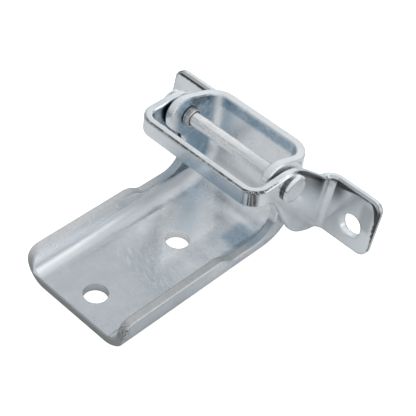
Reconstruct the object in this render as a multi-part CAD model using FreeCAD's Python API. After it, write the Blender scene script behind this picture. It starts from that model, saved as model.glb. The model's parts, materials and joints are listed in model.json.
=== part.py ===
import FreeCAD, Part
import math
import os

V = FreeCAD.Vector

# Sheet metal and bolt holes
sheet_t = 4.0
bolt_r = 5.25
rim_break = 0.55
bow_roll = 1.0
bow_burr = 0.35

# Door leaf, plan
leaf_w = 57.0
hole_gap = 46.5
front_margin = 12.0
pin_from_hole = 27.0
back_from_pin = 20.0

# Door leaf, bends and heights above the underside
flange_bend = 10.6
heel_bend = 23.0
flange_h = 16.0
low_flange_h = 12.0
front_corner = 5.5
pin_h = 42.2
ear_front = 10.6
ear_top = 9.4
ear_corner = 7.0
rim_top = 4.85
neck_y = 0.5
neck_r = 9.5
neck_rise = 4.7
step_start = 33.0
step_end = 21.5

# Pin, bushings
pin_r = 3.1
head_r = 6.3
head_h = 2.6
head_round = 1.0
bush_wall = 1.15
bush_in = 3.2
bush_proud = 0.5
bush_break = 0.35
running_gap = 0.08

# Frame bow
ear_gap = 1.0
bow_front = 23.3
bow_top = 8.0
bar_h = 8.7
bow_corner = 8.4
lean_deg = 8.8
arm_slope = 40.0
arm_knee = 11.0
arm_drop = 6.2
arm_fall = 12.4
arm_start = 14.0
lobe_slope = 60.0
lobe_y = 4.6
lobe_drop = 27.0
lobe_run = 18.5
bar_end = 18.0
tab_face = 30.0
tab_top = -5.8
tab_h = 28.2
tab_edge = 11.2
tab_corner = 5.2
tab_hole_x = 48.6
tab_hole_down = 17.0
tab_bend = 3.0

# How far cutting shapes run past the sheet
spare = 5.0

# Positions that follow from the sizes above
hole_y = hole_gap / 2.0
front_y = -hole_y - front_margin
pin_y = hole_y + pin_from_hole
back_y = pin_y + back_from_pin
half_w = leaf_w / 2.0
ear_in = half_w - sheet_t
bow_in = half_w + ear_gap
bow_out = bow_in + sheet_t
bush_r = pin_r + running_gap + bush_wall
tab_end = tab_hole_x + tab_edge


def line(a, b):
    return Part.LineSegment(a, b).toShape()


def bezier(points):
    curve = Part.BezierCurve()
    curve.setPoles(points)
    return curve.toShape()


def quarter(a, b, centre, radius):
    middle = (a + b) * 0.5 - centre
    middle.normalize()
    return Part.Arc(a, centre + middle * radius, b).toShape()


def prism(edges, direction):
    face = Part.Face(Part.Wire(edges))
    return face.extrude(direction)


def block(x0, x1, y0, y1, z0, z1):
    return Part.makeBox(x1 - x0, y1 - y0, z1 - z0, V(x0, y0, z0))


def rod(radius, x0, x1, y, z):
    return Part.makeCylinder(radius, x1 - x0, V(x0, y, z), V(1, 0, 0))


def along(edge, axis):
    first = edge.Vertexes[0].Point
    last = edge.Vertexes[-1].Point
    step = last - first
    if step.Length < 0.001:
        return False
    return abs(step.dot(axis)) / step.Length > 0.999


def rim_edges(shape, cutters):
    # edges that the outline of the blank leaves on both faces of the sheet
    walls = []
    for cutter, axis in cutters:
        for face in cutter.Faces:
            u0, u1, v0, v1 = face.ParameterRange
            normal = face.normalAt((u0 + u1) / 2.0, (v0 + v1) / 2.0)
            if abs(normal.dot(axis)) < 0.5:
                walls.append(face)
    outline = Part.makeCompound(walls)
    rims = []
    for edge in shape.Edges:
        if edge.Degenerated or edge.Length < 0.05:
            continue
        points = edge.discretize(5)
        across = abs(edge.Length - sheet_t) < 0.4 and (points[-1] - points[0]).Length > sheet_t * 0.99
        if across:
            continue
        if all(outline.distToShape(Part.Vertex(point))[0] < 0.001 for point in points):
            rims.append(edge)
    return rims


def soften(shape, cutters):
    return shape.makeChamfer(rim_break, rim_edges(shape, cutters))


def pan(inset):
    # rounded solid whose surface is the pressed pan, inset by the sheet thickness for its inside
    x = half_w - inset
    y = back_y - inset
    top = pin_h + ear_top + spare + inset
    front = front_y - (spare if inset > 0 else 0.0)
    body = block(-x, x, front, y, inset, top)
    heel = []
    for edge in body.Edges:
        mid = edge.BoundBox.Center
        if along(edge, V(1, 0, 0)) and mid.z < inset + 0.1 and mid.y > y - 0.1:
            heel.append(edge)
    body = body.makeFillet(heel_bend - inset, heel)
    bends = []
    for edge in body.Edges:
        box = edge.BoundBox
        on_side = box.XLength < 0.01 and abs(abs(box.Center.x) - x) < 0.01
        at_front = box.YMax < front + 0.1
        at_top = box.ZMin > top - 0.1
        if on_side and not at_front and not at_top:
            bends.append(edge)
    return body.makeFillet(flange_bend - inset, bends)


def at_pin(y, z, x=0.0):
    return V(x, pin_y + y, pin_h + z)


def leaf_side():
    # side view of everything that stays of the pan
    x = -half_w - spare
    low = -spare
    p0 = V(x, front_y, low)
    p1 = V(x, front_y, flange_h - front_corner)
    p2 = V(x, front_y + front_corner, flange_h)
    p3 = V(x, pin_y - step_start, flange_h)
    p4 = V(x, pin_y - step_end, low_flange_h)
    p5 = V(x, pin_y + neck_y - neck_r, low_flange_h)
    p6 = V(x, pin_y + neck_y, low_flange_h + neck_r)
    p7 = p6 + V(0, 0, neck_rise)
    p8 = at_pin(-ear_front, 1.0, x)
    p9 = at_pin(-ear_front, ear_top - ear_corner, x)
    p10 = at_pin(-ear_front + ear_corner, ear_top, x)
    p11 = at_pin(back_from_pin - sheet_t, rim_top, x)
    p12 = at_pin(back_from_pin + spare, rim_top, x)
    p13 = V(x, back_y + spare, low)
    sweep = (step_start - step_end) * 0.48
    edges = [
        line(p0, p1),
        quarter(p1, p2, p1 + V(0, front_corner, 0), front_corner),
        line(p2, p3),
        bezier([p3, p3 + V(0, sweep, 0), p4 - V(0, sweep, 0), p4]),
        line(p4, p5),
        quarter(p5, p6, p5 + V(0, 0, neck_r), neck_r),
        line(p6, p7),
        bezier([p7, p7 + V(0, 0, 7.0), p8 - V(0, 0, 7.5), p8]),
        line(p8, p9),
        quarter(p9, p10, p9 + V(0, ear_corner, 0), ear_corner),
        bezier([p10, p10 + V(0, 6.5, 0), p11 - V(0, 8.0, 0), p11]),
        line(p11, p12),
        line(p12, p13),
        line(p13, p0),
    ]
    return prism(edges, V(leaf_w + 2.0 * spare, 0, 0))


def door_leaf():
    shell = pan(0.0).cut(pan(sheet_t))
    outline = leaf_side()
    leaf = soften(shell.common(outline), [(outline, V(1, 0, 0))])
    for side in (-1, 1):
        leaf = leaf.cut(Part.makeCylinder(bolt_r, sheet_t + 2.0 * spare, V(0, side * hole_y, -spare)))
    leaf = leaf.cut(rod(bush_r, -half_w - spare, half_w + spare, pin_y, pin_h))
    return leaf.removeSplitter()


def bushing(side):
    x0 = ear_in - bush_in
    x1 = half_w + bush_proud
    if side < 0:
        x0, x1 = -x1, -x0
    sleeve = rod(bush_r, x0, x1, pin_y, pin_h)
    end = ear_in - bush_in
    rims = []
    for edge in sleeve.Edges:
        if abs(abs(edge.BoundBox.Center.x) - end) < 0.1 and edge.BoundBox.XLength < 0.1:
            rims.append(edge)
    sleeve = sleeve.makeChamfer(bush_break, rims)
    return sleeve.cut(rod(pin_r + running_gap, x0 - spare, x1 + spare, pin_y, pin_h))


def rivet_head():
    # flat head with a crowned rim, standing on the plane x = 0
    r = head_r
    h = head_h
    c = head_round
    profile = [
        V(0, 0, 0),
        V(0, r, 0),
        V(h - c, r, 0),
        V(h - c * 0.4, r - c * 0.25, 0),
        V(h - c * 0.1, r - c * 0.8, 0),
        V(h, r - c * 1.6, 0),
        V(h, 0, 0),
    ]
    face = Part.Face(Part.makePolygon(profile + [profile[0]]))
    return face.revolve(V(0, 0, 0), V(1, 0, 0), 360)


def hinge_pin():
    shaft = rod(pin_r, -bow_out - 0.5, bow_out + 0.5, pin_y, pin_h)
    head = rivet_head()
    head.translate(V(bow_out, pin_y, pin_h))
    other = head.mirror(V(0, 0, 0), V(1, 0, 0))
    return shaft.fuse([head, other]).removeSplitter()


def bow_front_part():
    # bar, two corners and the ears up to the pin
    y0 = pin_y - bow_front
    z0 = pin_h - lobe_drop - 3.0 * spare
    z1 = pin_h + bow_top + spare
    bodies = []
    for inset in (0.0, sheet_t):
        x = bow_out - inset
        body = block(-x, x, y0 + inset, pin_y + 1.0 + inset, z0 - inset, z1 + inset)
        corners = []
        for edge in body.Edges:
            if along(edge, V(0, 0, 1)) and edge.BoundBox.Center.y < y0 + inset + 0.1:
                corners.append(edge)
        bodies.append(body.makeFillet(bow_corner - inset, corners))
    return bodies[0].cut(bodies[1])


def leaning(y, z, x=0.0):
    # point of the leaning tab, given square to the tab from the pin axis
    a = math.radians(lean_deg)
    return at_pin(y * math.cos(a) + z * math.sin(a), z * math.cos(a) - y * math.sin(a), x)


def bow_side():
    # side view of the bar and the two arms
    x = -tab_end - spare
    back = leaning(1.0, 0.0) - leaning(0.0, 0.0)
    slope = V(0, math.cos(math.radians(arm_slope)), -math.sin(math.radians(arm_slope)))
    steep = V(0, -math.cos(math.radians(lobe_slope)), math.sin(math.radians(lobe_slope)))
    far = tab_face + sheet_t + spare
    p0 = at_pin(-bow_front - spare, bow_top, x)
    p1 = at_pin(-4.0, bow_top, x)
    p2 = at_pin(arm_knee, bow_top - arm_drop, x)
    p3 = p2 + slope * arm_fall
    p4 = leaning(tab_face - 2.2, tab_top, x)
    p5 = leaning(far, tab_top, x)
    p6 = leaning(far, tab_top - tab_h, x)
    p7 = leaning(tab_face - 3.5, tab_top - tab_h, x)
    p8 = at_pin(lobe_y, -lobe_drop, x)
    p9 = p8 + steep * lobe_run
    p10 = at_pin(-bar_end, bow_top - bar_h, x)
    p11 = at_pin(-bow_front - spare, bow_top - bar_h, x)
    edges = [
        line(p0, p1),
        bezier([p1, p1 + V(0, 5.5, 0), p2 - slope * 5.5, p2]),
        line(p2, p3),
        bezier([p3, p3 + slope * 2.5, p4 - back * 2.5, p4]),
        line(p4, p5),
        line(p5, p6),
        line(p6, p7),
        bezier([p7, p7 - back * 6.0, p8 - steep * 5.5, p8]),
        line(p8, p9),
        bezier([p9, p9 + steep * 6.0, p10 + V(0, 6.5, 0), p10]),
        line(p10, p11),
        line(p11, p0),
    ]
    return prism(edges, V(2.0 * (tab_end + spare), 0, 0))


def arm_high():
    return bow_top + 2.0 * spare


def arm_low():
    return tab_top - tab_h - 3.0 * spare


def tab_strip():
    # arm, bend and tab, seen from above, extruded upright
    z = arm_low()
    outer = [V(bow_out, -arm_start, z), V(bow_out, tab_face, z), V(tab_end + spare, tab_face, z)]
    far = tab_face + sheet_t
    inner = [V(tab_end + spare, far, z), V(bow_in, far, z), V(bow_in, -arm_start, z)]
    strip = Part.Face(Part.makePolygon(outer + inner + [outer[0]])).extrude(V(0, 0, arm_high() - z))
    for spot, radius in ((outer[1], tab_bend), (inner[1], tab_bend + sheet_t)):
        edges = []
        for edge in strip.Edges:
            mid = edge.BoundBox.Center
            if along(edge, V(0, 0, 1)) and math.hypot(mid.x - spot.x, mid.y - spot.y) < 0.05:
                edges.append(edge)
        strip = strip.makeFillet(radius, edges)
    return strip


def tab_front():
    # front view of the tab; everything near the arm stays
    y = -arm_start - spare
    low = tab_top - tab_h
    c = tab_corner
    near = bow_out + tab_bend
    p0 = V(0, y, arm_high() + spare)
    p1 = V(near, y, arm_high() + spare)
    p2 = V(near, y, tab_top)
    p3 = V(tab_end - c, y, tab_top)
    p4 = V(tab_end, y, tab_top - c)
    p5 = V(tab_end, y, low + c)
    p6 = V(tab_end - c, y, low)
    p7 = V(near, y, low)
    p8 = V(near, y, arm_low() - spare)
    p9 = V(0, y, arm_low() - spare)
    edges = [
        line(p0, p1),
        line(p1, p2),
        line(p2, p3),
        quarter(p3, p4, p3 - V(0, 0, c), c),
        line(p4, p5),
        quarter(p5, p6, p5 - V(c, 0, 0), c),
        line(p6, p7),
        line(p7, p8),
        line(p8, p9),
        line(p9, p0),
    ]
    return prism(edges, V(0, tab_face + sheet_t + spare - y, 0))


def lean(shape):
    shape.rotate(V(0, 0, 0), V(1, 0, 0), -lean_deg)
    shape.translate(V(0, pin_y, pin_h))
    return shape


def side_tab():
    # right tab with its arm, leaning
    strip = tab_strip().common(tab_front())
    spot = V(tab_hole_x, tab_face - spare, tab_top - tab_hole_down)
    return lean(strip.cut(Part.makeCylinder(bolt_r, sheet_t + 2.0 * spare, spot, V(0, 1, 0))))


def outside(point):
    # whether a point lies in the outer half of the bent strip
    a = math.radians(lean_deg)
    y = point.y - pin_y
    z = point.z - pin_h
    x = abs(point.x)
    half = sheet_t / 2.0
    if y * math.cos(a) - z * math.sin(a) > tab_face + half:
        return False
    side = bow_out - bow_corner
    front = -bow_front + bow_corner
    if y < front and x > side:
        return math.hypot(x - side, y - front) > bow_corner - half
    return x > bow_in + half or y < -bow_front + half


def frame_bow():
    tab = side_tab()
    other = tab.mirror(V(0, 0, 0), V(1, 0, 0))
    bow = bow_front_part().fuse([tab, other])
    side = bow_side()
    front = lean(tab_front())
    facing = leaning(1.0, 0.0) - leaning(0.0, 0.0)
    outlines = [
        (side, V(1, 0, 0)),
        (front, facing),
        (front.mirror(V(0, 0, 0), V(1, 0, 0)), facing),
    ]
    bow = bow.common(side).removeSplitter()
    rims = rim_edges(bow, outlines)
    outer = [edge for edge in rims if outside(edge.discretize(3)[1])]
    inner = [edge for edge in rims if not outside(edge.discretize(3)[1])]
    bow = bow.makeChamfer(bow_roll, outer)
    kept = []
    for edge in inner:
        middle = Part.Vertex(edge.discretize(3)[1])
        kept.append(min(bow.Edges, key=lambda other: other.distToShape(middle)[0]))
    bow = bow.makeChamfer(bow_burr, kept)
    bow = bow.cut(rod(pin_r, -bow_out - spare, bow_out + spare, pin_y, pin_h))
    return bow.removeSplitter()


def main():
    os.makedirs("parts", exist_ok=True)
    pieces = {
        "door_leaf": door_leaf(),
        "bushing_left": bushing(-1),
        "bushing_right": bushing(1),
        "frame_bow": frame_bow(),
        "hinge_pin": hinge_pin(),
    }
    for name, shape in pieces.items():
        if len(shape.Solids) != 1 or not shape.isValid():
            print(name, "solids", len(shape.Solids), "valid", shape.isValid())
        if len(shape.Solids) == 1:
            shape = shape.Solids[0]
        shape.exportStep("parts/" + name + ".step")
        box = shape.BoundBox
        sizes = [round(box.XMin, 2), round(box.XMax, 2), round(box.YMin, 2), round(box.YMax, 2)]
        print(name, sizes, round(box.ZMin, 2), round(box.ZMax, 2), "volume", round(shape.Volume, 1))


main()
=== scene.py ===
import json
import math

import bpy
from mathutils import Matrix, Vector


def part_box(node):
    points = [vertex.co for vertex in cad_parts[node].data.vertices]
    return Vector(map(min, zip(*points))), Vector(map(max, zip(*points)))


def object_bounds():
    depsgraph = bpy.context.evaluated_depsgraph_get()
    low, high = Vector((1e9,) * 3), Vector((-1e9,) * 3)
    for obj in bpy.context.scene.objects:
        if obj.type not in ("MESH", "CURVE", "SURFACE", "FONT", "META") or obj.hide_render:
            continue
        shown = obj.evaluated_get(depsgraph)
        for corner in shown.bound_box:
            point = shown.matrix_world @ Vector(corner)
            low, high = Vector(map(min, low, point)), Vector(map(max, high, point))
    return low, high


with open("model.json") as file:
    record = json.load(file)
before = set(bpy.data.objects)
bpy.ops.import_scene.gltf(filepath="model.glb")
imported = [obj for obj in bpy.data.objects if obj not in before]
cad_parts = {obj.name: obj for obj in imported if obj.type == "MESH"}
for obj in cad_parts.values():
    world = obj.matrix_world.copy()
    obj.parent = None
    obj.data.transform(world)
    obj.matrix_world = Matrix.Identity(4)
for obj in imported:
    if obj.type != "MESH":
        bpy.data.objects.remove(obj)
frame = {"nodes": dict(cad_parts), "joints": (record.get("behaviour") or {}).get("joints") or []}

cad_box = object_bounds()

MM = 0.001
IMAGE_SIDE = 416

# Camera of the photograph, in millimetres and pixels of the 416 px frame
CAMERA_AZIMUTH = 39.94
CAMERA_ELEVATION = 43.99
CAMERA_ROLL = 6.88
CAMERA_TARGET = (-3.53, 30.79, 15.0)
CAMERA_DISTANCE = 530.65
FOCAL_PIXELS = 1262.4
CENTRE_PIXEL = (186.4, 208.3)
SENSOR_WIDTH = 36.0
NEAREST = 0.01

# Colours of the zinc, the steel and what they mirror; ZINC_MIDDLE, ZINC_HIGH and ZINC_WALL are painted light
WHITE = (1.0, 1.0, 1.0)
ZINC_LOW = (0.665, 0.695, 0.73)
ZINC_MIDDLE = (0.89, 0.91, 0.925)
ZINC_HIGH = (0.84, 0.86, 0.875)
ZINC_WALL = (0.98, 0.99, 1.0)
ZINC_BOW = (0.91, 0.94, 0.96)
ZINC_PIN = (0.97, 0.985, 1.0)
TURNED_STEEL = (0.84, 0.82, 0.79)
ZINC_CUT = (0.665, 0.67, 0.675)
ZINC_SHEARED = (0.36, 0.365, 0.36)
TORN_EDGE = (0.17, 0.15, 0.135)
# Painted shade, blue, for the dark that the zinc mirrors
BLUE_SHADE = (0.34, 0.47, 0.58)
PIN_METALLIC = 0.75

# Roughness of the pieces
LEAF_ROUGH = 0.20
BOW_ROUGH = 0.10
PIN_ROUGH = 0.24
SLEEVE_ROUGH = 0.20

# Fine marks: length and width in millimetres, turn in degrees and the two cuts through the noise
HATCH_LINES = (4.5, 0.6, -21.0, 0.47, 0.58)
LONG_SCRATCHES = (12.0, 0.35, 84.0, 0.60, 0.70)
CROSS_SCRATCHES = (4.0, 0.25, 38.0, 0.63, 0.72)
DRAWN_LINES = (9.0, 0.3, 0.0, 0.50, 0.64)
RING_PITCH = 1.2

# Patches of tone: size in millimetres, detail, roughness, the two cuts through the noise and the levels there
LEAF_CLOUD = (8.0, 6.0, 0.6, (0.32, 0.68))
BOW_CLOUD = (10.0, 5.0, 0.55, (0.35, 0.65))
PIN_CLOUD = (5.0, 5.0, 0.6, (0.35, 0.65))
SLEEVE_CLOUD = (1.6, 4.0, 0.6, (0.35, 0.65))
WORN_AREAS = (13.0, 3.0, 0.6, (0.44, 0.60))
SCUFFS = (1.3, 6.0, 0.8, (0.56, 0.66))
SCUFFED_BEND = (6.0, 3.0, 0.6, (0.42, 0.55))
PLATE_UNEVEN = (6.0, 4.0, 0.6, (0.35, 0.6), (0.6, 1.0))
HEEL_SHADE_PATCHES = (7.0, 6.0, 0.7, (0.48, 0.66))
SHADE_UNEVEN = (2.0, 6.0, 0.75, (0.30, 0.62), (0.55, 1.0))
CUT_STAINS = (1.4, 5.0, 0.7, (0.35, 0.65))
TORN_SPOTS = (0.8, 5.0, 0.8, (0.50, 0.58))
BOW_SPECKS = (1.1, 5.0, 0.75, (0.66, 0.76))
LINE_BREAKS = (0.9, 5.0, 0.8, (0.40, 0.52), (0.25, 1.0))
STREAK_BREAKS = (1.2, 5.0, 0.8, (0.36, 0.58), (0.2, 1.0))
SEAT_UNEVEN = (0.9, 4.0, 0.7, (0.38, 0.52), (0.8, 1.0))
SLEEVE_BLOTCHES = (1.8, 5.0, 0.7, (0.40, 0.60), (0.0, 0.6))

# Share and level of a colour that lies over another tone
SCUFF_TONE = (0.8, 0.35)
SCRATCH_TONE = (0.35, 0.60)
HATCH_TONE = (0.75, 1.25)
SPECK_TONE = (0.25, 0.55)
CORNER_STREAK_TONE = (0.6, 0.3)
INNER_TONE = (1.0, 0.55)
BOW_LINE_TONE = (0.95, 0.05)
DRAWN_TONE = (0.3, 0.6)
STREAK_TONE = (0.55, 0.4)
HEAD_FACE_TONE = (1.0, 0.74)
SEAT_TONE = (0.9, 0.05)
RING_TONE = (0.35, 0.5)
BLOTCH_TONE = (1.0, 0.45)
SLEEVE_DARK_TONE = (1.0, 0.10)

# Levels of the clouds, the deepest blue shade, the stained cut faces and the pin's painted darker right end
CLOUD_LEVELS = (0.93, 1.04)
DEEPEST_LEVEL = 0.35
CUT_LEVEL = 0.88
RIGHT_END_LEVEL = 0.82

# How much less metallic the lighter areas are, and how much rougher the clouds, bends, cut faces and heads
CUP_AND_WALL_DULL = 0.25
LEFT_WALL_DULL = 0.25
LOW_WALL_DULL = 0.5
BY_HOLE_DULL = 0.3
ROUGH_SPREAD = 0.08
BEND_ROUGHER = 0.14
CUT_ROUGHER = 0.18
HEAD_ROUGHER = -0.15

# Relief: heights in units of the grain's own, depths and the radii of the soft edges in millimetres. Of two
# radii, the second is what the bow's rounder edges and the pin's heads add
HATCH_HEIGHT = 7.0
SCRATCH_HEIGHT = -1.2
STAIN_HEIGHT = 2.0
LEAF_RELIEF = 0.006
BOW_RELIEF = 0.004
PIN_RELIEF = 0.003
SLEEVE_RELIEF = 0.012
LEAF_EDGES = 0.6
BOW_EDGES = (0.6, 1.0)
PIN_EDGES = (0.4, 0.6)
SLEEVE_EDGES = 0.25

# Places in millimetres. Two values say where a mask begins and where it is full, or, for a mask that drops,
# where it starts to fade and where it ends. Four say two places and the levels there. Three say the lowest and
# highest place and the width of the soft edges. First come the places on the leaf's plate and flanges
RIM_SIDE = (24.3, 24.6)
RIM_Z = (10.7, 18.0, 0.5)
RIM_BACK_Y = (32.0, 40.0, 0.0, 0.5)
END_Y = (-34.6, -34.2)
END_Z = (11.0, 14.0)
TORN_X = (20.0, 22.0)
TORN_Y = (-33.4, -30.5)
TORN_Z = (8.0, 9.5)
# Painted highlight along the left flange's bend
BEND_X = (-24.0, -18.5, 1.0)
BEND_Z = (5.0, 9.5, 1.0)
BEND_SHARE = 0.85
FIELD_X = (-9.0, 15.0, 5.0)
FIELD_Y = (0.0, 11.0, 5.0)
FIELD_Z = (3.0, 5.5, 1.5)
SCUFFED_X = (-22.5, -19.5, 1.2)
SCUFFED_Y = (-12.0, 32.0, 4.0)

# Painted light on the cup, towards the heel and on the left flange's wall
CUP_Z = (16.0, 34.0)
TO_HEEL_Y = (-6.0, 22.0)
LEFT_WALL_X = (-23.5, -21.0)
LEFT_WALL_Y = (-20.0, 36.0, 1.0, 0.25)
LEFT_WALL_Z = (8.0, 11.0)

# Painted light areas: on the slant x + y by the far hole, and on the back wall's foot
BY_HOLE_SLANT = (16.0, 44.0, 7.0)
BY_HOLE_X = (-20.0, 4.0, 6.0)
BY_HOLE_Z = (8.0, 12.0)
LOW_WALL_X = (-19.0, 12.0, 4.0)
LOW_WALL_Y = (43.0, 48.0)
LOW_WALL_Z = (10.0, 22.0, 3.5)

# Painted blue and dark shade in the cup, on its left ear and on the heel
INNER_SIDE_X = (-20.0, -18.0)
UNDER_RIM_X = (-22.0, -19.0)
UNDER_RIM_Y = (58.0, 62.0)
UNDER_RIM_Z = (42.5, 45.2, 2.5)
BY_EAR_Y = (46.0, 62.0, 6.0)
BY_EAR_Z = (16.0, 36.0, 0.8, 1.1)
BY_RIM_Y = (42.0, 60.0, 9.0)
BY_RIM_Z = (6.0, 30.0, 2.0)
BY_RIM_GAIN = 1.25
DEEPEST_SHARE = 0.9
FOOT_SHARE = 0.9
HEEL_SIDE = (11.0, 20.0, 0.0, 0.6)
HEEL_Y = (12.0, 34.0)
HEEL_Z = (24.0, 34.0)
FOOT_X = (13.0, 19.0, 5.0)
FOOT_Y = (40.0, 49.0, 4.0)
FOOT_Z = (12.0, 18.0)
UPPER_EAR_Y = (52.0, 62.0, 3.0)
UPPER_EAR_Z = (42.0, 46.0)
LOW_CORNER_Y = (44.0, 52.0, 4.0)
LOW_CORNER_Z = (12.0, 18.0)
OUTER_EAR_X = (-28.2, -27.4)
OUTER_EAR_Y = (42.0, 56.0, 3.0)
OUTER_EAR_Z = (40.0, 44.0)

# The bow's sloping top edges (constant, share of y and share of z), and the centre and radius of its corners
ARM_EDGE = (73.09, -0.643, -0.766)
TAB_EDGE = (43.59, -0.153, -0.988)
CORNER_PLACE = (25.1, 35.35)
CORNER_RADIUS = 8.4

# Painted dark lines on the arms, tabs and bend. Those named below are measured down from the sloping top edge
EDGE_WANDER = (1.4, 6.0, 0.8)
EDGE_WANDER_WIDTH = 2.4
TAB_LINE_WIDTH = 0.1
TAB_LINE_SOFT = (-0.2, 0.5)
TAB_LINE_ROUND = 5.0
TAB_SIDE = (36.0, 36.6)
TAB_SWELL_SIDE = (36.5, 50.0)
TAB_SWELL = 2.6
TAB_THINNER_BELOW = (8.0, 22.0, 0.0, 1.2)
TAB_CORNER_END = (2.0, 6.0)
TAB_CORNER_BELOW = (3.0, 9.0)
TAB_CORNER_SWELL = 1.6
LEFT_TAB_X = (-30.0, -28.0)
LEFT_TAB_CLEAR = 9.0
LEFT_TAB_SWELL = 0.8
TAB_SHADE_SIDE = (38.0, 45.0)
TAB_SHADE_BELOW = (4.0, 16.0)
TAB_PATCH_SIDE = (52.5, 56.5, 2.5)
TAB_PATCH_BELOW = (5.0, 14.0, 3.0)
TAB_SHADE_SHARE = 0.9
TAB_PATCH_SHARE = 0.35
ARM_SHADE_SHARE = 0.75
ON_BEND_SHARE = 0.95
RIGHT_X = (0.0, 1.0)
ARM_LINE_WIDTH = 1.4
ARM_LINE_SOFT = (-0.4, 1.0)
ARM_SIDE = (32.6, 33.0)
ARM_SHADE_BELOW = (2.0, 14.0)
ARM_START_Y = (50.5, 54.5)
ARM_FADE_Y = (70.0, 75.0, 1.0, 0.3)
ON_BEND_SIDE = (34.2, 37.5, 0.8)
ON_BEND_BELOW = (1.4, 3.6)

# The painted line on the bow's level top, the painted shades of its front, the rounder edges of its arms and
# tabs
TOP_TURN = (0.5, 3.0)
TOP_CORNER_WIDTH = (0.45, 0.6)
TOP_LINE_WIDTH = (0.35, 0.8, 0.15)
TOP_LINE_X = (-32.0, -25.0)
TOP_LINE_Y = (36.0, 50.0)
TOP_LINE_Z = (48.8, 49.1)
INNER_SIDE = (25.0, 30.0, 1.0)
INNER_FACING = (-20.0, -8.0)
INNER_START_Y = (36.0, 41.0, 0.6, 1.0)
INNER_END_Y = (46.0, 54.0)
INNER_Z = (49.0, 49.4)
FRONT_X = (-20.0, 0.0)
FRONT_Y = (28.0, 29.0)
FRONT_Z = (41.5, 50.0, 0.75, 0.3)
CORNER_STREAK_X = (30.2, 32.0, 0.7)
CORNER_STREAK_Y = (32.0, 34.0)
ROUNDER_SIDE = (33.0, 33.6)
ROUNDER_Y = (50.0, 58.0)

# The pin's heads; painted shade on their faces and seats, on a streak above its axis and on its right end
HEAD_SIDE = (32.0, 33.0)
HEAD_FACE_SIDE = (35.6, 36.0)
SEAT_SIDE = (33.4, 34.5, 0.3)
STREAK_ABOVE = (1.95, 2.35, 0.35)
STREAK_BEFORE = (-0.5, 0.0)
RIGHT_END_X = (2.0, 18.0)

# The sleeves' bore, as a distance from the axis, and the ring where they leave the ears, both painted shade
BORE_RADIUS = (3.5, 3.65)
EAR_RING_SIDE = (24.1, 24.5, 0.2)

# Facing: the range of a component of the surface's own direction over which a mask fades
FACES_INWARDS = (0.5, 0.8)
FACES_SIDEWAYS = (0.3, 0.7)
FACES_FRONT = (-0.2, 0.0)
FACES_MOSTLY_FRONT = (-0.5, -0.2)
END_FACING = (-0.85, -0.55)
RIM_FACING = (0.8, 0.95)
TAB_FACING = (-0.72, -0.5)
ARM_FACING = (0.35, 0.6)
ARM_FLAT_FACING = (0.85, 0.97)
ON_BEND_FACING = (0.6, 0.85)
FRONT_FACING = (-0.95, -0.8)
CORNER_STREAK_FACING = (0.2, 0.5)
SEAT_FACING = (-0.4, 0.3)

# Light tent: elevation and level, the compass side that is paler, and its windows and dark gaps, each as
# azimuth, elevation, half width, half height and the change of level
TENT_PROFILE = ((-90, 0.52), (-1, 0.60), (5, 0.69), (30, 0.72), (50, 0.68), (90, 0.68))
TENT_TINT = (0.95, 0.98, 1.0)
BRIGHT_SIDE = 20.0
BRIGHT_SIDE_GAIN = 0.15
PANELS = (
    (57, 13, 14, 19, 0.65),
    (98, 14, 18, 16, 0.5),
    (-40, 5, 14, 30, 0.1),
    (-90, 14, 46, 14, -0.3),
    (-150, 2, 14, 10, -0.7),
    (18, 7, 11, 12, -0.5),
)
PANEL_SOFT = 5.0

# Box light above the object, in metres and watts
BOX_LIGHT_PLACE = (0.0, 0.15, 1.0)
BOX_LIGHT_AIM = (0.0, 0.03, 0.02)
BOX_LIGHT_SIZE = (1.3, 1.0)
BOX_LIGHT_POWER = 5.0

# Floor: half its size and its gap below the object in metres, its colour and glow, and where mirrored rays
# find its dark surroundings, in millimetres
FLOOR_HALF = 4.0
FLOOR_GAP = 0.0002
FLOOR_COLOUR = (0.84, 0.85, 0.86)
FLOOR_GLOW = 0.8
FLOOR_ROUGH = 0.9
FLOOR_MIRRORED = 0.75
FLOOR_STRIPES = ((47.0, 52.0), (59.0, 63.0), (71.0, 77.0))
STRIPE_SOFT = 3.0
STRIPE_LEVEL = 0.06
STRIPE_END_Y = (10.0, 25.0)
FLOOR_FADE_DISTANCE = (70.0, 170.0)
FLOOR_FADE_END_Y = (80.0, 120.0)
FLOOR_FADE_LEVEL = 0.55


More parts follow.
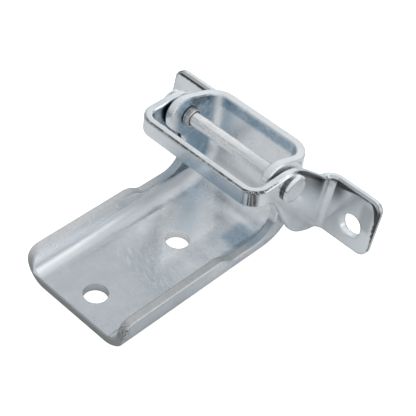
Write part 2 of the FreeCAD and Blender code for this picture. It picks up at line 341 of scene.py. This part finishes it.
class Shader:
    """Small helper that adds and links the nodes of one material."""

    def __init__(self, name):
        self.material = bpy.data.materials.new(name)
        self.material.use_nodes = True
        self.nodes = self.material.node_tree.nodes
        self.links = self.material.node_tree.links
        self.surface = self.nodes["Principled BSDF"]
        self.place = self.add("ShaderNodeTexCoord").outputs["Object"]

    def add(self, kind, **settings):
        node = self.nodes.new(kind)
        for key, value in settings.items():
            setattr(node, key, value)
        return node

    def feed(self, socket, value):
        if isinstance(value, bpy.types.NodeSocket):
            self.links.new(value, socket)
        else:
            socket.default_value = value

    def parts(self, vector):
        """The three components of a vector."""
        node = self.add("ShaderNodeSeparateXYZ")
        self.links.new(vector, node.inputs[0])
        return node.outputs

    def math(self, operation, first, second=0.0, third=0.0):
        node = self.add("ShaderNodeMath", operation=operation)
        for socket, value in zip(node.inputs, (first, second, third)):
            self.feed(socket, value)
        return node.outputs[0]

    def times(self, *values):
        return self.chain("MULTIPLY", values)

    def largest(self, *values):
        return self.chain("MAXIMUM", values)

    def chain(self, operation, values):
        result = values[0]
        for value in values[1:]:
            result = self.math(operation, result, value)
        return result

    def scaled(self, size, turn=(0.0, 0.0, 0.0), stretch=(1.0, 1.0, 1.0)):
        """Object coordinates in units of size millimetres, turned and stretched."""
        node = self.add("ShaderNodeMapping", vector_type="TEXTURE")
        node.inputs["Rotation"].default_value = [math.radians(angle) for angle in turn]
        node.inputs["Scale"].default_value = [size * MM * factor for factor in stretch]
        self.links.new(self.place, node.inputs["Vector"])
        return node.outputs[0]

    def noise(self, size, detail=4.0, roughness=0.6, turn=(0, 0, 0), stretch=(1, 1, 1), distortion=0.0):
        node = self.add("ShaderNodeTexNoise")
        self.links.new(self.scaled(size, turn, stretch), node.inputs["Vector"])
        node.inputs["Scale"].default_value = 1.0
        node.inputs["Detail"].default_value = detail
        node.inputs["Roughness"].default_value = roughness
        node.inputs["Distortion"].default_value = distortion
        return node.outputs["Fac"]

    def patches(self, size, detail, roughness, cuts, levels=(0.0, 1.0), **settings):
        """Soft patches of a size in millimetres, cut from a noise between two of its values."""
        return self.span(self.noise(size, detail, roughness, **settings), *cuts, *levels)

    def scratches(self, length, width, turn, low_cut, high_cut):
        """Thin straight marks of a length and width in millimetres, turned about Z by an angle."""
        field = self.noise(1.0, 2.0, 0.5, turn=(0.0, 0.0, turn), stretch=(length, width, width))
        return self.span(field, low_cut, high_cut)

    def span(self, value, from_low, from_high, to_low=0.0, to_high=1.0):
        """A soft step from one level to another between two values."""
        node = self.add("ShaderNodeMapRange", interpolation_type="SMOOTHSTEP")
        names = ("From Min", "From Max", "To Min", "To Max")
        for name, amount in zip(names, (from_low, from_high, to_low, to_high)):
            node.inputs[name].default_value = amount
        self.feed(node.inputs["Value"], value)
        return node.outputs["Result"]

    def drop(self, value, full, end, level=1.0):
        """A level up to one value, falling softly to 0 at another."""
        return self.span(value, full, end, level, 0.0)

    def inside(self, value, lowest, highest, soft):
        """1 between two limits, falling off softly outside them."""
        return self.times(self.span(value, lowest - soft, lowest), self.drop(value, highest, highest + soft))

    def mix(self, amount, first, second):
        node = self.add("ShaderNodeMix", data_type="RGBA")
        self.feed(node.inputs["Factor"], amount)
        for socket, value in ((node.inputs[6], first), (node.inputs[7], second)):
            self.feed(socket, value if isinstance(value, bpy.types.NodeSocket) else (*value, 1.0))
        return node.outputs[2]


def tinted(colour, factor):
    return tuple(min(1.0, channel * factor) for channel in colour)


def plated(shader, colour, cloud, roughness, grain):
    """Clouded metal tone and roughness on the shader's surface."""
    tone = shader.mix(cloud, *(tinted(colour, level) for level in CLOUD_LEVELS))
    shader.surface.inputs["Metallic"].default_value = 1.0
    rough = shader.math("MULTIPLY_ADD", cloud, ROUGH_SPREAD, roughness - ROUGH_SPREAD / 2)
    rough = shader.math("MULTIPLY_ADD", grain, ROUGH_SPREAD, rough)
    return tone, rough


def laid_over(shader, tone, mask, colour, strength):
    """The tone with a colour over it where the mask is 1, in a share and at a level of that colour."""
    share, level = strength
    return shader.mix(shader.times(mask, share), tone, tinted(colour, level))


def edge_radius(shader, more, radii):
    """The plain radius of the soft edges, larger where the mask is 1, in metres."""
    plain, added = radii
    return shader.math("MULTIPLY_ADD", more, added * MM, plain * MM)


def raise_normal(shader, height, depth, radius):
    """Soft edges of a radius in metres, and a fine relief of height times a depth in millimetres."""
    bevel = shader.add("ShaderNodeBevel", samples=6)
    shader.feed(bevel.inputs["Radius"], radius)
    bump = shader.add("ShaderNodeBump")
    bump.inputs["Strength"].default_value = 1.0
    bump.inputs["Distance"].default_value = depth * MM
    shader.feed(bump.inputs["Height"], height)
    shader.links.new(bevel.outputs["Normal"], bump.inputs["Normal"])
    shader.links.new(bump.outputs["Normal"], shader.surface.inputs["Normal"])


def axes(shader):
    """The three object coordinates in millimetres."""
    return shader.parts(shader.scaled(1.0))


def facing(shader):
    """The three components of the surface's own direction."""
    return shader.parts(shader.add("ShaderNodeNewGeometry").outputs["True Normal"])


def flange_rims(shader, place, normal):
    """1 on the cut top faces of the leaf's two flanges."""
    side = shader.span(shader.math("ABSOLUTE", place[0]), *RIM_SIDE)
    flat = shader.drop(shader.math("ABSOLUTE", normal[0]), *RIM_FACING)
    return shader.times(side, shader.inside(place[2], *RIM_Z), flat)


def front_end(shader, place, normal):
    """1 on the cut end of the leaf's plate and flanges."""
    upright = shader.drop(normal[1], *END_FACING)
    return shader.times(shader.drop(place[1], *END_Y), upright, shader.drop(place[2], *END_Z))


def lighter_areas(shader, place, normal):
    """Masks of two painted light areas: by the far hole and on the foot of the cup's back wall."""
    x, y, z = place
    slant = shader.inside(shader.math("ADD", x, y), *BY_HOLE_SLANT)
    by_hole = shader.times(slant, shader.inside(x, *BY_HOLE_X), shader.drop(z, *BY_HOLE_Z))
    low_wall = shader.times(shader.span(y, *LOW_WALL_Y), shader.inside(z, *LOW_WALL_Z))
    low_wall = shader.times(low_wall, shader.inside(x, *LOW_WALL_X), shader.drop(normal[1], *FACES_FRONT))
    return by_hole, low_wall


def leaf_tone(shader, place, normal, tone):
    """Duller low plate; painted light on the cup, the left wall and towards the heel; also how unlike metal it
    is.
    """
    x, y, z = place
    left_wall = shader.times(shader.drop(x, *LEFT_WALL_X), shader.span(z, *LEFT_WALL_Z))
    left_wall = shader.times(left_wall, shader.span(y, *LEFT_WALL_Y))
    cup_and_wall_light = shader.largest(shader.span(z, *CUP_Z), left_wall)
    by_hole, low_wall = lighter_areas(shader, place, normal)
    # Painted light: lighter towards the heel in uneven patches, and by the far hole
    to_heel = shader.times(shader.span(y, *TO_HEEL_Y), shader.patches(*PLATE_UNEVEN))
    tone = shader.mix(shader.largest(to_heel, by_hole), tone, shader.mix(by_hole, ZINC_MIDDLE, WHITE))
    # Painted light on the cup and the left flange's wall, paler on upright faces
    upright = shader.drop(normal[2], *FACES_SIDEWAYS)
    tone = shader.mix(cup_and_wall_light, tone, shader.mix(upright, ZINC_HIGH, ZINC_WALL))
    tone = shader.mix(low_wall, tone, ZINC_WALL)
    dull = shader.math("MULTIPLY_ADD", cup_and_wall_light, CUP_AND_WALL_DULL, shader.times(left_wall, LEFT_WALL_DULL))
    dull = shader.math("MULTIPLY_ADD", by_hole, BY_HOLE_DULL, dull)
    dull = shader.math("MULTIPLY_ADD", low_wall, LOW_WALL_DULL, dull)
    return tone, dull


def mirrored_dark(shader, place, normal, tone):
    """Blue and dark shades painted in the cup, on its left ear and on the heel, for what they mirror."""
    x, y, z = place
    inwards = shader.times(shader.span(normal[0], *FACES_INWARDS), shader.drop(x, *INNER_SIDE_X))
    by_ear = shader.times(shader.inside(y, *BY_EAR_Y), shader.span(z, *BY_EAR_Z), inwards)
    by_rim = shader.times(shader.inside(y, *BY_RIM_Y), shader.inside(z, *BY_RIM_Z), inwards, BY_RIM_GAIN)
    under_rim = shader.times(shader.inside(z, *UNDER_RIM_Z), shader.span(y, *UNDER_RIM_Y))
    under_rim = shader.times(under_rim, shader.drop(normal[1], *FACES_MOSTLY_FRONT))
    under_rim = shader.times(under_rim, shader.span(x, *UNDER_RIM_X))
    # Painted blue shade in uneven patches on the heel
    stains_and_shade = shader.patches(*HEEL_SHADE_PATCHES, turn=(0, 0, 40), stretch=(1.6, 0.8, 1.0))
    beside = shader.span(shader.math("ABSOLUTE", x), *HEEL_SIDE)
    by_heel = shader.times(shader.span(y, *HEEL_Y), shader.drop(z, *HEEL_Z), stains_and_shade, beside)
    foot = shader.times(shader.inside(x, *FOOT_X), shader.inside(y, *FOOT_Y))
    foot = shader.times(foot, shader.drop(z, *FOOT_Z, FOOT_SHARE))
    upper_ear = shader.times(inwards, shader.inside(y, *UPPER_EAR_Y), shader.span(z, *UPPER_EAR_Z))
    low_corner = shader.times(inwards, shader.inside(y, *LOW_CORNER_Y), shader.drop(z, *LOW_CORNER_Z))
    outer_ear = shader.times(shader.drop(x, *OUTER_EAR_X), shader.inside(y, *OUTER_EAR_Y))
    outer_ear = shader.times(outer_ear, shader.span(z, *OUTER_EAR_Z))
    blue = shader.largest(by_ear, by_rim, under_rim, by_heel, foot, outer_ear)
    deepest = shader.times(shader.largest(upper_ear, low_corner, outer_ear), DEEPEST_SHARE)
    shade = shader.mix(deepest, BLUE_SHADE, tinted(BLUE_SHADE, DEEPEST_LEVEL))
    return shader.mix(shader.times(blue, shader.patches(*SHADE_UNEVEN)), tone, shade)


def leaf_marks(shader, place):
    """Masks of the field of fine lines on the plate, the dark scuffs and the loose scratches."""
    x, y, z = place
    field = shader.times(shader.inside(z, *FIELD_Z), shader.inside(x, *FIELD_X), shader.inside(y, *FIELD_Y))
    lines = shader.times(shader.scratches(*HATCH_LINES), field)
    worn = shader.patches(*WORN_AREAS, distortion=0.6)
    bend = shader.times(shader.inside(x, *SCUFFED_X), shader.inside(y, *SCUFFED_Y))
    bend = shader.times(bend, shader.patches(*SCUFFED_BEND))
    blotches = shader.patches(*SCUFFS, distortion=1.0)
    scuffs = shader.times(blotches, shader.largest(shader.times(worn, 0.6), bend))
    long_marks = shader.times(shader.scratches(*LONG_SCRATCHES), 0.5)
    marks = shader.times(shader.largest(long_marks, shader.scratches(*CROSS_SCRATCHES)), worn)
    return lines, scuffs, marks


def cut_faces(shader, place, rims, end, stains_and_shade, tone):
    """Dull cut rims with painted blue shade towards the heel, the sheared front end and its torn right corner.
    """
    x, y, z = place
    cut = shader.mix(stains_and_shade, tinted(ZINC_CUT, CUT_LEVEL), ZINC_CUT)
    # Painted blue shade on the rims towards the heel
    cut = shader.mix(shader.span(y, *RIM_BACK_Y), cut, BLUE_SHADE)
    tone = shader.mix(rims, tone, cut)
    tone = shader.mix(end, tone, ZINC_SHEARED)
    torn = shader.times(shader.drop(y, *TORN_Y), shader.span(z, *TORN_Z), shader.span(x, *TORN_X))
    return shader.mix(shader.times(torn, shader.patches(*TORN_SPOTS)), tone, TORN_EDGE)


def leaf_finish():
    """Zinc on the pressed leaf: clouds, scuffs by the bends, a field of fine lines and dull cut faces."""
    shader = Shader("zinc_leaf")
    place = axes(shader)
    normal = facing(shader)
    grain = shader.noise(0.5, 3.0, 0.7)
    tone, rough = plated(shader, ZINC_LOW, shader.patches(*LEAF_CLOUD), LEAF_ROUGH, grain)
    tone, dull = leaf_tone(shader, place, normal, tone)
    tone = mirrored_dark(shader, place, normal, tone)
    shader.feed(shader.surface.inputs["Metallic"], shader.math("SUBTRACT", 1.0, dull))
    lines, scuffs, marks = leaf_marks(shader, place)
    for mask, strength in ((scuffs, SCUFF_TONE), (marks, SCRATCH_TONE), (lines, HATCH_TONE)):
        tone = laid_over(shader, tone, mask, ZINC_LOW, strength)
    rims = flange_rims(shader, place, normal)
    end = front_end(shader, place, normal)
    stains_and_shade = shader.patches(*CUT_STAINS)
    tone = cut_faces(shader, place, rims, end, stains_and_shade, tone)
    # Painted highlight along the left flange's bend, which is also rougher
    bend = shader.times(shader.inside(place[2], *BEND_Z), shader.inside(place[0], *BEND_X))
    tone = shader.mix(shader.times(bend, BEND_SHARE), tone, ZINC_WALL)
    shader.feed(shader.surface.inputs["Base Color"], tone)
    rough = shader.math("MULTIPLY_ADD", bend, BEND_ROUGHER, rough)
    rough = shader.math("MULTIPLY_ADD", shader.largest(rims, end), CUT_ROUGHER, rough)
    shader.feed(shader.surface.inputs["Roughness"], rough)
    relief = shader.math("MULTIPLY_ADD", shader.noise(2.4, 2.0, 0.5), 1.5, grain)
    stained = shader.times(stains_and_shade, rims)
    for mask, height in ((lines, HATCH_HEIGHT), (marks, SCRATCH_HEIGHT), (stained, STAIN_HEIGHT)):
        relief = shader.math("MULTIPLY_ADD", mask, height, relief)
    raise_normal(shader, relief, LEAF_RELIEF, LEAF_EDGES * MM)
    return shader


def below_edge(shader, edge, y, z):
    """Distance below a sloping top edge, in millimetres."""
    return shader.math("MULTIPLY_ADD", z, edge[2], shader.math("MULTIPLY_ADD", y, edge[1], edge[0]))


def tab_shade(shader, x, side, below, wander, normal):
    """Mask of a ragged painted line under the tabs' top and outer edges on their fronts, and painted shade by
    it.
    """
    to_end = shader.math("MULTIPLY_ADD", side, -1.0, bow_end)
    thinner = shader.span(below, *TAB_THINNER_BELOW)
    clear = shader.drop(x, *LEFT_TAB_X, LEFT_TAB_CLEAR)
    to_end = shader.math("ADD", to_end, shader.math("ADD", thinner, clear))
    inwards = shader.math("SMOOTH_MIN", below, to_end, TAB_LINE_ROUND)
    corner = shader.drop(below, *TAB_CORNER_BELOW, TAB_CORNER_SWELL)
    corner = shader.times(shader.drop(to_end, *TAB_CORNER_END), corner)
    swell = shader.math("ADD", shader.drop(side, *TAB_SWELL_SIDE, TAB_SWELL), corner)
    left_swell = shader.drop(x, *LEFT_TAB_X, LEFT_TAB_SWELL)
    swell = shader.math("MULTIPLY_ADD", swell, shader.span(x, *LEFT_TAB_X), left_swell)
    width = shader.math("ADD", shader.math("ADD", wander, swell), TAB_LINE_WIDTH)
    line = shader.drop(shader.math("SUBTRACT", inwards, width), *TAB_LINE_SOFT)
    # Painted shade fading from the bend and down from the top edge, and a painted dark patch near the right
    # tab's end
    wash = shader.drop(side, *TAB_SHADE_SIDE, TAB_SHADE_SHARE)
    wash = shader.times(wash, shader.drop(below, *TAB_SHADE_BELOW))
    patch = shader.times(shader.inside(side, *TAB_PATCH_SIDE), shader.inside(below, *TAB_PATCH_BELOW))
    patch = shader.times(patch, shader.span(x, *RIGHT_X), TAB_PATCH_SHARE)
    face = shader.times(shader.drop(normal[1], *TAB_FACING), shader.span(side, *TAB_SIDE))
    return shader.times(shader.largest(line, wash, patch), face)


def arm_shade(shader, y, side, below, wander, normal):
    """Mask of a ragged painted line on the arms' outer faces, under their top edge, and of painted shade below
    it.
    """
    sideways = shader.math("ABSOLUTE", normal[0])
    width = shader.math("ADD", wander, ARM_LINE_WIDTH)
    line = shader.drop(shader.math("SUBTRACT", below, width), *ARM_LINE_SOFT)
    # Painted shade fading down below the top edge on the flat outer face
    wash = shader.drop(below, *ARM_SHADE_BELOW, ARM_SHADE_SHARE)
    wash = shader.times(wash, shader.span(sideways, *ARM_FLAT_FACING))
    face = shader.times(shader.span(sideways, *ARM_FACING), shader.span(side, *ARM_SIDE))
    length = shader.times(shader.span(y, *ARM_START_Y), shader.span(y, *ARM_FADE_Y))
    return shader.times(shader.largest(line, wash), face, length)


def edge_shade(shader, place, normal):
    """Mask of the dark lines painted inside the rolled edges of arms, tabs and bends, for what they mirror."""
    x, y, z = place
    side = shader.math("ABSOLUTE", x)
    wander = shader.times(shader.noise(*EDGE_WANDER), EDGE_WANDER_WIDTH)
    below_tab = below_edge(shader, TAB_EDGE, y, z)
    on_tab = tab_shade(shader, x, side, below_tab, wander, normal)
    on_arm = arm_shade(shader, y, side, below_edge(shader, ARM_EDGE, y, z), wander, normal)
    on_bend = shader.drop(below_tab, *ON_BEND_BELOW, ON_BEND_SHARE)
    on_bend = shader.times(shader.inside(side, *ON_BEND_SIDE), on_bend)
    on_bend = shader.times(on_bend, shader.drop(normal[2], *ON_BEND_FACING))
    return shader.largest(on_tab, on_bend, on_arm)


def top_line(shader, place):
    """Mask of a fine dark line painted on the bow's level top as a reflection, where its outer edge begins to
    roll over.
    """
    x, y, z = place
    beside = shader.math("ADD", shader.math("ABSOLUTE", x), -CORNER_PLACE[0])
    beside = shader.math("MAXIMUM", beside, 0.0)
    before = shader.math("MAXIMUM", shader.math("MULTIPLY_ADD", y, -1.0, CORNER_PLACE[1]), 0.0)
    squares = shader.math("MULTIPLY_ADD", beside, beside, shader.math("MULTIPLY", before, before))
    inwards = shader.math("MULTIPLY_ADD", shader.math("SQRT", squares), -1.0, CORNER_RADIUS)
    turning = shader.times(shader.span(beside, *TOP_TURN), shader.span(before, *TOP_TURN))
    corner = shader.times(turning, shader.span(x, *RIGHT_X), shader.drop(inwards, *TOP_CORNER_WIDTH))
    line = shader.times(shader.inside(inwards, *TOP_LINE_WIDTH), shader.span(x, *TOP_LINE_X))
    line = shader.times(shader.largest(line, corner), shader.patches(*LINE_BREAKS))
    return shader.times(line, shader.span(z, *TOP_LINE_Z), shader.drop(y, *TOP_LINE_Y))


def front_shades(shader, place, normal, tone):
    """Painted for what the bow mirrors: a streak on the right corner, blue low on the bar and dark inside."""
    x, y, z = place
    streak = shader.times(shader.inside(x, *CORNER_STREAK_X), shader.drop(y, *CORNER_STREAK_Y))
    streak = shader.times(streak, shader.drop(normal[2], *CORNER_STREAK_FACING))
    tone = laid_over(shader, tone, streak, ZINC_BOW, CORNER_STREAK_TONE)
    low_front = shader.times(shader.drop(normal[1], *FRONT_FACING), shader.drop(y, *FRONT_Y))
    low_front = shader.times(low_front, shader.span(x, *FRONT_X), shader.span(z, *FRONT_Z))
    tone = shader.mix(low_front, tone, BLUE_SHADE)
    inner = shader.times(shader.inside(shader.math("ABSOLUTE", x), *INNER_SIDE), shader.drop(z, *INNER_Z))
    inner = shader.times(inner, shader.drop(shader.times(normal[0], x), *INNER_FACING))
    inner = shader.times(inner, shader.span(y, *INNER_START_Y), shader.drop(y, *INNER_END_Y))
    return laid_over(shader, tone, inner, BLUE_SHADE, INNER_TONE)


def bow_finish():
    """Brighter, smoother zinc on the bent strip, with rounder edges on its arms and tabs."""
    shader = Shader("zinc_bow")
    place = axes(shader)
    normal = facing(shader)
    grain = shader.noise(0.5, 3.0, 0.7)
    tone, rough = plated(shader, ZINC_BOW, shader.patches(*BOW_CLOUD), BOW_ROUGH, grain)
    tone = laid_over(shader, tone, shader.patches(*BOW_SPECKS), ZINC_BOW, SPECK_TONE)
    tone = front_shades(shader, place, normal, tone)
    # Painted dark reflections inside the rolled edges and on the level top
    lines = shader.largest(edge_shade(shader, place, normal), top_line(shader, place))
    tone = laid_over(shader, tone, lines, ZINC_BOW, BOW_LINE_TONE)
    shader.feed(shader.surface.inputs["Base Color"], tone)
    shader.feed(shader.surface.inputs["Roughness"], rough)
    peel = shader.math("MULTIPLY_ADD", shader.noise(3.0, 2.0, 0.5), 2.0, grain)
    side = shader.math("ABSOLUTE", place[0])
    rounder = shader.times(shader.span(side, *ROUNDER_SIDE), shader.span(place[1], *ROUNDER_Y))
    raise_normal(shader, peel, BOW_RELIEF, edge_radius(shader, rounder, BOW_EDGES))
    return shader


def shaft_shades(shader, place, head, tone):
    """Painted for what the shaft mirrors: a broken dark streak along its front and a darker right end."""
    x, y, z = place
    above = shader.inside(shader.math("SUBTRACT", z, pin_z), *STREAK_ABOVE)
    before = shader.drop(shader.math("SUBTRACT", y, pin_y), *STREAK_BEFORE)
    streak = shader.times(above, shader.patches(*STREAK_BREAKS, stretch=(3.0, 1.0, 1.0)), before)
    tone = laid_over(shader, tone, streak, ZINC_PIN, STREAK_TONE)
    right_end = shader.mix(head, tinted(ZINC_PIN, RIGHT_END_LEVEL), tone)
    return shader.mix(shader.span(x, *RIGHT_END_X), tone, right_end)


def seat_shade(shader, side, tone):
    """Painted shade: a dark ring on the front of the pin, where its heads sit on the arms."""
    upright = shader.drop(facing(shader)[1], *SEAT_FACING)
    seat = shader.times(shader.inside(side, *SEAT_SIDE), upright, shader.patches(*SEAT_UNEVEN))
    return laid_over(shader, tone, seat, ZINC_PIN, SEAT_TONE)


def pin_finish():
    """Drawn shaft, slightly rough, with smoother formed heads."""
    shader = Shader("zinc_pin")
    place = axes(shader)
    side = shader.math("ABSOLUTE", place[0])
    grain = shader.noise(0.4, 3.0, 0.7)
    tone, rough = plated(shader, ZINC_PIN, shader.patches(*PIN_CLOUD), PIN_ROUGH, grain)
    head = shader.span(side, *HEAD_SIDE)
    drawn = shader.times(shader.scratches(*DRAWN_LINES), shader.math("SUBTRACT", 1.0, head))
    tone = laid_over(shader, tone, drawn, ZINC_PIN, DRAWN_TONE)
    tone = shaft_shades(shader, place, head, tone)
    # Painted shade on the heads' flat faces
    tone = laid_over(shader, tone, shader.span(side, *HEAD_FACE_SIDE), ZINC_PIN, HEAD_FACE_TONE)
    tone = seat_shade(shader, side, tone)
    shader.feed(shader.surface.inputs["Base Color"], tone)
    shader.surface.inputs["Metallic"].default_value = PIN_METALLIC
    rough = shader.math("MULTIPLY_ADD", head, HEAD_ROUGHER, rough)
    shader.feed(shader.surface.inputs["Roughness"], rough)
    relief = shader.math("MULTIPLY_ADD", drawn, -1.0, grain)
    raise_normal(shader, relief, PIN_RELIEF, edge_radius(shader, head, PIN_EDGES))
    return shader


def sleeve_finish():
    """Turned steel: fine tool rings, with painted shade in the bore and where the sleeve leaves the ear."""
    shader = Shader("turned_steel")
    x, y, z = axes(shader)
    off_y = shader.math("SUBTRACT", y, pin_y)
    off_z = shader.math("SUBTRACT", z, pin_z)
    squares = shader.math("MULTIPLY_ADD", off_y, off_y, shader.math("MULTIPLY", off_z, off_z))
    bore = shader.drop(shader.math("SQRT", squares), *BORE_RADIUS)
    wander = shader.times(shader.noise(2.5, 2.0, 0.5), 2.5)
    rings = shader.math("SINE", shader.math("MULTIPLY_ADD", x, 2.0 * math.pi / RING_PITCH, wander))
    grain = shader.noise(0.3, 3.0, 0.7, stretch=(0.4, 4.0, 4.0))
    tone, rough = plated(shader, TURNED_STEEL, shader.patches(*SLEEVE_CLOUD), SLEEVE_ROUGH, grain)
    tone = laid_over(shader, tone, shader.span(rings, 0.3, 1.0), TURNED_STEEL, RING_TONE)
    tone = laid_over(shader, tone, shader.patches(*SLEEVE_BLOTCHES), TURNED_STEEL, BLOTCH_TONE)
    # Painted shade in the bore and in a ring where the sleeve leaves the ear
    ends = shader.largest(bore, shader.inside(shader.math("ABSOLUTE", x), *EAR_RING_SIDE))
    tone = laid_over(shader, tone, ends, TURNED_STEEL, SLEEVE_DARK_TONE)
    shader.feed(shader.surface.inputs["Base Color"], tone)
    shader.feed(shader.surface.inputs["Roughness"], rough)
    raise_normal(shader, shader.math("MULTIPLY_ADD", rings, 2.0, grain), SLEEVE_RELIEF, SLEEVE_EDGES * MM)
    return shader


def dress(shader, *nodes):
    for node in nodes:
        mesh = frame["nodes"][node].data
        mesh.materials.clear()
        mesh.materials.append(shader.material)


def dress_nodes():
    dress(leaf_finish(), "door_leaf")
    dress(bow_finish(), "frame_bow")
    dress(pin_finish(), "hinge_pin")
    dress(sleeve_finish(), "bushing_left", "bushing_right")


def place_camera():
    azimuth, elevation, roll = (math.radians(v) for v in (CAMERA_AZIMUTH, CAMERA_ELEVATION, CAMERA_ROLL))
    flat = math.cos(elevation)
    back = Vector((math.sin(azimuth) * flat, -math.cos(azimuth) * flat, math.sin(elevation)))
    right = Vector((math.cos(azimuth), math.sin(azimuth), 0.0))
    up = back.cross(right)
    side = right * math.cos(roll) + up * math.sin(roll)
    top = up * math.cos(roll) - right * math.sin(roll)
    data = bpy.data.cameras.new("camera")
    camera = bpy.data.objects.new("camera", data)
    bpy.context.scene.collection.objects.link(camera)
    place = (Vector(CAMERA_TARGET) + back * CAMERA_DISTANCE) * MM
    camera.matrix_world = Matrix.Translation(place) @ Matrix((side, top, back)).transposed().to_4x4()
    data.sensor_width = SENSOR_WIDTH
    data.lens = FOCAL_PIXELS / IMAGE_SIDE * SENSOR_WIDTH
    data.shift_x = (IMAGE_SIDE / 2 - CENTRE_PIXEL[0]) / IMAGE_SIDE
    data.shift_y = (CENTRE_PIXEL[1] - IMAGE_SIDE / 2) / IMAGE_SIDE
    data.clip_start = NEAREST
    bpy.context.scene.camera = camera


def metres(limits):
    return tuple(limit * MM for limit in limits)


def floor_stripes(shader, place):
    """1 on the dark strips before the object's right corner."""
    x, y, _ = shader.parts(place)
    stripes = [shader.inside(x, *metres((*limits, STRIPE_SOFT))) for limits in FLOOR_STRIPES]
    return shader.times(shader.largest(*stripes), shader.drop(y, *metres(STRIPE_END_Y)))


def floor_fade(shader, place):
    """0 on the floor round and behind the object, 1 far before it."""
    distance = shader.add("ShaderNodeVectorMath", operation="LENGTH")
    shader.links.new(place, distance.inputs[0])
    far = shader.span(distance.outputs["Value"], *metres(FLOOR_FADE_DISTANCE))
    return shader.times(far, shader.drop(shader.parts(place)[1], *metres(FLOOR_FADE_END_Y)))


def make_floor():
    """Pale matt floor that stays white to the camera, and is darker in places to mirrored rays."""
    mesh = bpy.data.meshes.new("floor")
    signs = ((-1, -1), (1, -1), (1, 1), (-1, 1))
    corners = [(side * FLOOR_HALF, end * FLOOR_HALF, 0.0) for side, end in signs]
    mesh.from_pydata(corners, [], [(0, 1, 2, 3)])
    floor = bpy.data.objects.new("floor", mesh)
    floor.location.z = cad_box[0][2] - FLOOR_GAP
    bpy.context.scene.collection.objects.link(floor)
    shader = Shader("floor")
    surface = shader.surface
    place = shader.add("ShaderNodeNewGeometry").outputs["Position"]
    path = shader.add("ShaderNodeLightPath")
    glossy = path.outputs["Is Glossy Ray"]
    near = tinted(FLOOR_COLOUR, FLOOR_MIRRORED)
    mirrored = shader.mix(floor_fade(shader, place), near, tinted(near, FLOOR_FADE_LEVEL))
    pale = shader.mix(glossy, FLOOR_COLOUR, mirrored)
    dark = shader.times(floor_stripes(shader, place), glossy)
    shader.feed(surface.inputs["Base Color"], shader.mix(dark, pale, tinted(FLOOR_COLOUR, STRIPE_LEVEL)))
    surface.inputs["Roughness"].default_value = FLOOR_ROUGH
    surface.inputs["Specular IOR Level"].default_value = 0.0
    wash = shader.add("ShaderNodeEmission")
    shader.feed(wash.inputs["Strength"], shader.times(path.outputs["Is Camera Ray"], FLOOR_GLOW))
    lit = shader.add("ShaderNodeAddShader")
    shader.links.new(surface.outputs[0], lit.inputs[0])
    shader.links.new(wash.outputs[0], lit.inputs[1])
    shader.links.new(lit.outputs[0], shader.nodes["Material Output"].inputs["Surface"])
    mesh.materials.append(shader.material)


class Studio(Shader):
    """The world as a white light tent: paler behind the object, with a few dark gaps between its panels."""

    def __init__(self):
        world = bpy.data.worlds.new("studio")
        bpy.context.scene.world = world
        world.use_nodes = True
        self.nodes = world.node_tree.nodes
        self.links = world.node_tree.links
        self.x, self.y, height = self.parts(self.add("ShaderNodeTexCoord").outputs["Generated"])
        degrees = 180.0 / math.pi
        self.azimuth = self.math("MULTIPLY", self.math("ARCTAN2", self.x, self.y), degrees)
        self.elevation = self.math("MULTIPLY", self.math("ARCSINE", height), degrees)

    def window(self, value, centre, half):
        distance = self.math("ABSOLUTE", self.math("SUBTRACT", value, centre))
        return self.drop(distance, half, half + PANEL_SOFT)

    def panel(self, azimuth, elevation, half_azimuth, half_elevation):
        """1 inside a window of the tent, given in compass degrees from +Y towards +X, and 0 outside it."""
        across = self.window(self.azimuth, azimuth, half_azimuth)
        return self.times(across, self.window(self.elevation, elevation, half_elevation))

    def profile(self, stops):
        ramp = self.add("ShaderNodeValToRGB")
        self.feed(ramp.inputs[0], self.math("MULTIPLY_ADD", self.elevation, 1.0 / 180.0, 0.5))
        elements = ramp.color_ramp.elements
        while len(elements) < len(stops):
            elements.new(0.5)
        for element, (angle, level) in zip(elements, stops):
            element.position = angle / 180.0 + 0.5
            element.color = (level, level, level, 1.0)
        return ramp.outputs["Color"]


def make_studio():
    studio = Studio()
    level = studio.profile(TENT_PROFILE)
    aim = math.radians(BRIGHT_SIDE)
    sideways = studio.math("MULTIPLY", studio.y, math.cos(aim))
    towards = studio.math("MULTIPLY_ADD", studio.x, math.sin(aim), sideways)
    level = studio.times(level, studio.math("MULTIPLY_ADD", towards, BRIGHT_SIDE_GAIN, 1.0))
    for *window, amount in PANELS:
        level = studio.times(level, studio.math("MULTIPLY_ADD", studio.panel(*window), amount, 1.0))
    tent = studio.nodes["Background"]
    tent.inputs["Color"].default_value = (*TENT_TINT, 1.0)
    studio.feed(tent.inputs["Strength"], level)
    backdrop = studio.add("ShaderNodeBackground")
    backdrop.inputs["Color"].default_value = (*WHITE, 1.0)
    path = studio.add("ShaderNodeLightPath")
    choice = studio.add("ShaderNodeMixShader")
    studio.links.new(path.outputs["Is Camera Ray"], choice.inputs[0])
    studio.links.new(tent.outputs[0], choice.inputs[1])
    studio.links.new(backdrop.outputs[0], choice.inputs[2])
    studio.links.new(choice.outputs[0], studio.nodes["World Output"].inputs["Surface"])


def hang_box_light():
    data = bpy.data.lights.new("top_box", "AREA")
    data.shape = "RECTANGLE"
    data.size, data.size_y = BOX_LIGHT_SIZE
    data.energy = BOX_LIGHT_POWER
    lamp = bpy.data.objects.new("top_box", data)
    bpy.context.scene.collection.objects.link(lamp)
    lamp.location = Vector(BOX_LIGHT_PLACE)
    direction = Vector(BOX_LIGHT_AIM) - Vector(BOX_LIGHT_PLACE)
    lamp.rotation_euler = direction.to_track_quat("-Z", "Y").to_euler()
    lamp.visible_glossy = False


# The bow's outer end and the pin's axis as the frame gives them, in millimetres
bow_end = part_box("frame_bow")[1].x / MM
pin_y, pin_z = (value / MM for value in frame["joints"][0]["pos_m"][1:])

place_camera()
make_studio()
make_floor()
hang_box_light()
dress_nodes()

bpy.context.scene.view_settings.view_transform = "Standard"
